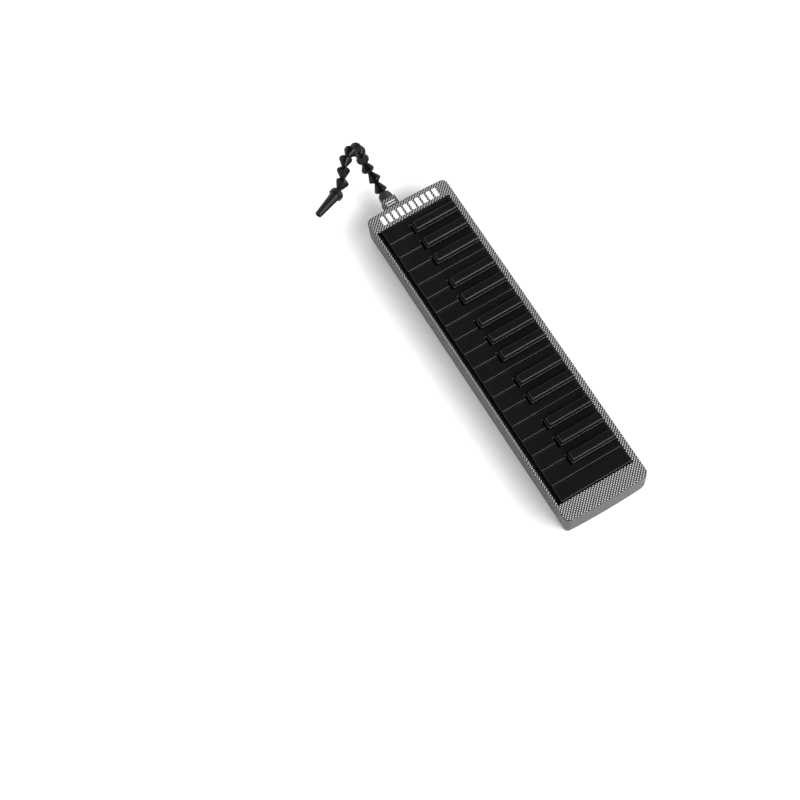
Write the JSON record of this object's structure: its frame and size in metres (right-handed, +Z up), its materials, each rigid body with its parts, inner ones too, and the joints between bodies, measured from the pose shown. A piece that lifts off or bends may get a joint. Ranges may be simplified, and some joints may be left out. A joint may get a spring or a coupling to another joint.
{
  "type": "melodica",
  "caption": "Slim keyboard wind instrument: black piano keys in a patterned shell over a free-reed chest, with a bendable ball-jointed hose ending in a tapered mouthpiece.",
  "frame": {"origin": "middle of the case's flat underside", "axes": "+X along the case from the mouthpiece end to the high notes, +Y from the player's side to the rear, +Z up"},
  "size_m": [0.5058, 0.1573, 0.095],
  "materials": {
    "patterned_shell": "fine woven print, satin gloss",
    "lower_shell": "fine grain",
    "key_plastic": "satin",
    "hose_plastic": "gloss",
    "collar_plastic": "matte",
    "button_plastic": "satin",
    "inner_plastic": "moulded",
    "reed_brass": "rolled",
    "steel": "bright",
    "rubber": "matte",
    "felt": "felt",
    "print_white": "printed"
  },
  "bodies": {
    "instrument": {"top_case": "patterned_shell", "bottom_case": "lower_shell", "case_screws": "steel", "wind_chest": "inner_plastic", "chest_cover": "inner_plastic", "chest_gasket": "rubber", "chest_screws": "steel", "reed_plate_low": "reed_brass", "reed_plate_high": "reed_brass", "reed_tongues": "reed_brass", "key_rod": "steel", "key_springs": "steel", "key_comb": "lower_shell", "key_felt": "felt", "drain_spring": "steel", "hose_connector": "collar_plastic"},
    "key_f3": {"key_f3": "key_plastic"},
    "key_fs3": {"key_fs3": "key_plastic"},
    "key_g3": {"key_g3": "key_plastic"},
    "key_gs3": {"key_gs3": "key_plastic"},
    "key_a3": {"key_a3": "key_plastic"},
    "key_as3": {"key_as3": "key_plastic"},
    "key_b3": {"key_b3": "key_plastic"},
    "key_c4": {"key_c4": "key_plastic"},
    "key_cs4": {"key_cs4": "key_plastic"},
    "key_d4": {"key_d4": "key_plastic"},
    "key_ds4": {"key_ds4": "key_plastic"},
    "key_e4": {"key_e4": "key_plastic"},
    "key_f4": {"key_f4": "key_plastic"},
    "key_fs4": {"key_fs4": "key_plastic"},
    "key_g4": {"key_g4": "key_plastic"},
    "key_gs4": {"key_gs4": "key_plastic"},
    "key_a4": {"key_a4": "key_plastic"},
    "key_as4": {"key_as4": "key_plastic"},
    "key_b4": {"key_b4": "key_plastic"},
    "key_c5": {"key_c5": "key_plastic"},
    "key_cs5": {"key_cs5": "key_plastic"},
    "key_d5": {"key_d5": "key_plastic"},
    "key_ds5": {"key_ds5": "key_plastic"},
    "key_e5": {"key_e5": "key_plastic"},
    "key_f5": {"key_f5": "key_plastic"},
    "key_fs5": {"key_fs5": "key_plastic"},
    "key_g5": {"key_g5": "key_plastic"},
    "key_gs5": {"key_gs5": "key_plastic"},
    "key_a5": {"key_a5": "key_plastic"},
    "key_as5": {"key_as5": "key_plastic"},
    "key_b5": {"key_b5": "key_plastic"},
    "key_c6": {"key_c6": "key_plastic"},
    "drain_button": {"drain_button": "button_plastic"},
    "hose_link_01": {"hose_link_01": "hose_plastic"},
    "hose_link_02": {"hose_link_02": "hose_plastic"},
    "hose_link_03": {"hose_link_03": "hose_plastic"},
    "hose_link_04": {"hose_link_04": "hose_plastic"},
    "hose_link_05": {"hose_link_05": "hose_plastic"},
    "hose_link_06": {"hose_link_06": "hose_plastic"},
    "hose_link_07": {"hose_link_07": "hose_plastic"},
    "hose_link_08": {"hose_link_08": "hose_plastic"},
    "hose_link_09": {"hose_link_09": "hose_plastic"},
    "hose_link_10": {"hose_link_10": "hose_plastic"},
    "mouthpiece": {"mouthpiece": "hose_plastic"}
  },
  "joints": [
    {"name": "key_f3_press", "type": "hinge", "parent": "instrument", "child": "key_f3", "pos_m": [0, 0.02, 0.031], "axis": [1, 0, 0], "range_deg": [0, 3.4], "stiffness_Nm_per_rad": 0.25, "springref_deg": -8.02, "deforming": ["key_springs"]},
    {"name": "key_fs3_press", "type": "hinge", "parent": "instrument", "child": "key_fs3", "pos_m": [0, 0.02, 0.031], "axis": [1, 0, 0], "range_deg": [0, 4.8], "stiffness_Nm_per_rad": 0.25, "springref_deg": -8.02, "deforming": ["key_springs"]},
    {"name": "key_g3_press", "type": "hinge", "parent": "instrument", "child": "key_g3", "pos_m": [0, 0.02, 0.031], "axis": [1, 0, 0], "range_deg": [0, 3.4], "stiffness_Nm_per_rad": 0.25, "springref_deg": -8.02, "deforming": ["key_springs"]},
    {"name": "key_gs3_press", "type": "hinge", "parent": "instrument", "child": "key_gs3", "pos_m": [0, 0.02, 0.031], "axis": [1, 0, 0], "range_deg": [0, 4.8], "stiffness_Nm_per_rad": 0.25, "springref_deg": -8.02, "deforming": ["key_springs"]},
    {"name": "key_a3_press", "type": "hinge", "parent": "instrument", "child": "key_a3", "pos_m": [0, 0.02, 0.031], "axis": [1, 0, 0], "range_deg": [0, 3.4], "stiffness_Nm_per_rad": 0.25, "springref_deg": -8.02, "deforming": ["key_springs"]},
    {"name": "key_as3_press", "type": "hinge", "parent": "instrument", "child": "key_as3", "pos_m": [0, 0.02, 0.031], "axis": [1, 0, 0], "range_deg": [0, 4.8], "stiffness_Nm_per_rad": 0.25, "springref_deg": -8.02, "deforming": ["key_springs"]},
    {"name": "key_b3_press", "type": "hinge", "parent": "instrument", "child": "key_b3", "pos_m": [0, 0.02, 0.031], "axis": [1, 0, 0], "range_deg": [0, 3.4], "stiffness_Nm_per_rad": 0.25, "springref_deg": -8.02, "deforming": ["key_springs"]},
    {"name": "key_c4_press", "type": "hinge", "parent": "instrument", "child": "key_c4", "pos_m": [0, 0.02, 0.031], "axis": [1, 0, 0], "range_deg": [0, 3.4], "stiffness_Nm_per_rad": 0.25, "springref_deg": -8.02, "deforming": ["key_springs"]},
    {"name": "key_cs4_press", "type": "hinge", "parent": "instrument", "child": "key_cs4", "pos_m": [0, 0.02, 0.031], "axis": [1, 0, 0], "range_deg": [0, 4.8], "stiffness_Nm_per_rad": 0.25, "springref_deg": -8.02, "deforming": ["key_springs"]},
    {"name": "key_d4_press", "type": "hinge", "parent": "instrument", "child": "key_d4", "pos_m": [0, 0.02, 0.031], "axis": [1, 0, 0], "range_deg": [0, 3.4], "stiffness_Nm_per_rad": 0.25, "springref_deg": -8.02, "deforming": ["key_springs"]},
    {"name": "key_ds4_press", "type": "hinge", "parent": "instrument", "child": "key_ds4", "pos_m": [0, 0.02, 0.031], "axis": [1, 0, 0], "range_deg": [0, 4.8], "stiffness_Nm_per_rad": 0.25, "springref_deg": -8.02, "deforming": ["key_springs"]},
    {"name": "key_e4_press", "type": "hinge", "parent": "instrument", "child": "key_e4", "pos_m": [0, 0.02, 0.031], "axis": [1, 0, 0], "range_deg": [0, 3.4], "stiffness_Nm_per_rad": 0.25, "springref_deg": -8.02, "deforming": ["key_springs"]},
    {"name": "key_f4_press", "type": "hinge", "parent": "instrument", "child": "key_f4", "pos_m": [0, 0.02, 0.031], "axis": [1, 0, 0], "range_deg": [0, 3.4], "stiffness_Nm_per_rad": 0.25, "springref_deg": -8.02, "deforming": ["key_springs"]},
    {"name": "key_fs4_press", "type": "hinge", "parent": "instrument", "child": "key_fs4", "pos_m": [0, 0.02, 0.031], "axis": [1, 0, 0], "range_deg": [0, 4.8], "stiffness_Nm_per_rad": 0.25, "springref_deg": -8.02, "deforming": ["key_springs"]},
    {"name": "key_g4_press", "type": "hinge", "parent": "instrument", "child": "key_g4", "pos_m": [0, 0.02, 0.031], "axis": [1, 0, 0], "range_deg": [0, 3.4], "stiffness_Nm_per_rad": 0.25, "springref_deg": -8.02, "deforming": ["key_springs"]},
    {"name": "key_gs4_press", "type": "hinge", "parent": "instrument", "child": "key_gs4", "pos_m": [0, 0.02, 0.031], "axis": [1, 0, 0], "range_deg": [0, 4.8], "stiffness_Nm_per_rad": 0.25, "springref_deg": -8.02, "deforming": ["key_springs"]},
    {"name": "key_a4_press", "type": "hinge", "parent": "instrument", "child": "key_a4", "pos_m": [0, 0.02, 0.031], "axis": [1, 0, 0], "range_deg": [0, 3.4], "stiffness_Nm_per_rad": 0.25, "springref_deg": -8.02, "deforming": ["key_springs"]},
    {"name": "key_as4_press", "type": "hinge", "parent": "instrument", "child": "key_as4", "pos_m": [0, 0.02, 0.031], "axis": [1, 0, 0], "range_deg": [0, 4.8], "stiffness_Nm_per_rad": 0.25, "springref_deg": -8.02, "deforming": ["key_springs"]},
    {"name": "key_b4_press", "type": "hinge", "parent": "instrument", "child": "key_b4", "pos_m": [0, 0.02, 0.031], "axis": [1, 0, 0], "range_deg": [0, 3.4], "stiffness_Nm_per_rad": 0.25, "springref_deg": -8.02, "deforming": ["key_springs"]},
    {"name": "key_c5_press", "type": "hinge", "parent": "instrument", "child": "key_c5", "pos_m": [0, 0.02, 0.031], "axis": [1, 0, 0], "range_deg": [0, 3.4], "stiffness_Nm_per_rad": 0.25, "springref_deg": -8.02, "deforming": ["key_springs"]},
    {"name": "key_cs5_press", "type": "hinge", "parent": "instrument", "child": "key_cs5", "pos_m": [0, 0.02, 0.031], "axis": [1, 0, 0], "range_deg": [0, 4.8], "stiffness_Nm_per_rad": 0.25, "springref_deg": -8.02, "deforming": ["key_springs"]},
    {"name": "key_d5_press", "type": "hinge", "parent": "instrument", "child": "key_d5", "pos_m": [0, 0.02, 0.031], "axis": [1, 0, 0], "range_deg": [0, 3.4], "stiffness_Nm_per_rad": 0.25, "springref_deg": -8.02, "deforming": ["key_springs"]},
    {"name": "key_ds5_press", "type": "hinge", "parent": "instrument", "child": "key_ds5", "pos_m": [0, 0.02, 0.031], "axis": [1, 0, 0], "range_deg": [0, 4.8], "stiffness_Nm_per_rad": 0.25, "springref_deg": -8.02, "deforming": ["key_springs"]},
    {"name": "key_e5_press", "type": "hinge", "parent": "instrument", "child": "key_e5", "pos_m": [0, 0.02, 0.031], "axis": [1, 0, 0], "range_deg": [0, 3.4], "stiffness_Nm_per_rad": 0.25, "springref_deg": -8.02, "deforming": ["key_springs"]},
    {"name": "key_f5_press", "type": "hinge", "parent": "instrument", "child": "key_f5", "pos_m": [0, 0.02, 0.031], "axis": [1, 0, 0], "range_deg": [0, 3.4], "stiffness_Nm_per_rad": 0.25, "springref_deg": -8.02, "deforming": ["key_springs"]},
    {"name": "key_fs5_press", "type": "hinge", "parent": "instrument", "child": "key_fs5", "pos_m": [0, 0.02, 0.031], "axis": [1, 0, 0], "range_deg": [0, 4.8], "stiffness_Nm_per_rad": 0.25, "springref_deg": -8.02, "deforming": ["key_springs"]},
    {"name": "key_g5_press", "type": "hinge", "parent": "instrument", "child": "key_g5", "pos_m": [0, 0.02, 0.031], "axis": [1, 0, 0], "range_deg": [0, 3.4], "stiffness_Nm_per_rad": 0.25, "springref_deg": -8.02, "deforming": ["key_springs"]},
    {"name": "key_gs5_press", "type": "hinge", "parent": "instrument", "child": "key_gs5", "pos_m": [0, 0.02, 0.031], "axis": [1, 0, 0], "range_deg": [0, 4.8], "stiffness_Nm_per_rad": 0.25, "springref_deg": -8.02, "deforming": ["key_springs"]},
    {"name": "key_a5_press", "type": "hinge", "parent": "instrument", "child": "key_a5", "pos_m": [0, 0.02, 0.031], "axis": [1, 0, 0], "range_deg": [0, 3.4], "stiffness_Nm_per_rad": 0.25, "springref_deg": -8.02, "deforming": ["key_springs"]},
    {"name": "key_as5_press", "type": "hinge", "parent": "instrument", "child": "key_as5", "pos_m": [0, 0.02, 0.031], "axis": [1, 0, 0], "range_deg": [0, 4.8], "stiffness_Nm_per_rad": 0.25, "springref_deg": -8.02, "deforming": ["key_springs"]},
    {"name": "key_b5_press", "type": "hinge", "parent": "instrument", "child": "key_b5", "pos_m": [0, 0.02, 0.031], "axis": [1, 0, 0], "range_deg": [0, 3.4], "stiffness_Nm_per_rad": 0.25, "springref_deg": -8.02, "deforming": ["key_springs"]},
    {"name": "key_c6_press", "type": "hinge", "parent": "instrument", "child": "key_c6", "pos_m": [0, 0.02, 0.031], "axis": [1, 0, 0], "range_deg": [0, 3.4], "stiffness_Nm_per_rad": 0.25, "springref_deg": -8.02, "deforming": ["key_springs"]},
    {"name": "drain_press", "type": "slide", "parent": "instrument", "child": "drain_button", "axis": [0, -1, 0], "range_m": [0, 0.002], "stiffness_N_per_m": 900, "springref_m": -0.002, "deforming": ["drain_spring"]},
    {"name": "hose_joint_01", "type": "hinge", "parent": "instrument", "child": "hose_link_01", "pos_m": [-0.2484, -0.013, 0.023], "axis": [0, 0.9999, 0.0109], "range_deg": [-53.6, 2.4]},
    {"name": "hose_joint_02", "type": "hinge", "parent": "hose_link_01", "child": "hose_link_02", "pos_m": [-0.26103, -0.01307, 0.02905], "axis": [-0.3766, -0.4819, -0.7912], "range_deg": [-20, 36]},
    {"name": "hose_joint_03", "type": "hinge", "parent": "hose_link_02", "child": "hose_link_03", "pos_m": [-0.27312, -0.01483, 0.03588], "axis": [0.1976, -0.9754, 0.0979], "range_deg": [-6.1, 49.9]},
    {"name": "hose_joint_04", "type": "hinge", "parent": "hose_link_03", "child": "hose_link_04", "pos_m": [-0.28192, -0.01552, 0.04674], "axis": [0.0741, 0.9896, 0.1231], "range_deg": [-55.1, 0.9]},
    {"name": "hose_joint_05", "type": "hinge", "parent": "hose_link_04", "child": "hose_link_05", "pos_m": [-0.28481, -0.017, 0.06036], "axis": [0.516, 0.8329, 0.1998], "range_deg": [-51, 5]},
    {"name": "hose_joint_06", "type": "hinge", "parent": "hose_link_05", "child": "hose_link_06", "pos_m": [-0.28293, -0.02133, 0.07354], "axis": [-0.8502, -0.5241, -0.0507], "range_deg": [-1, 55]},
    {"name": "hose_joint_07", "type": "hinge", "parent": "hose_link_06", "child": "hose_link_07", "pos_m": [-0.27801, -0.03023, 0.08316], "axis": [-0.7113, -0.6584, -0.2461], "range_deg": [-0.9, 55.1]},
    {"name": "hose_joint_08", "type": "hinge", "parent": "hose_link_07", "child": "hose_link_08", "pos_m": [-0.26975, -0.04073, 0.08737], "axis": [0.5968, 0.6554, 0.463], "range_deg": [-51.3, 4.7]},
    {"name": "hose_joint_09", "type": "hinge", "parent": "hose_link_08", "child": "hose_link_09", "pos_m": [-0.25916, -0.04984, 0.08661], "axis": [-0.6058, -0.6685, -0.4313], "range_deg": [-17.6, 38.4]},
    {"name": "hose_joint_10", "type": "hinge", "parent": "hose_link_09", "child": "hose_link_10", "pos_m": [-0.24811, -0.0579, 0.08359], "axis": [0.3043, 0.0595, 0.9507], "range_deg": [-7.9, 48.1]},
    {"name": "hose_joint_11", "type": "hinge", "parent": "hose_link_10", "child": "mouthpiece", "pos_m": [-0.24031, -0.06938, 0.08181], "axis": [-0.7631, -0.4462, -0.4676], "range_deg": [-46.7, 9.3]}
  ]
}
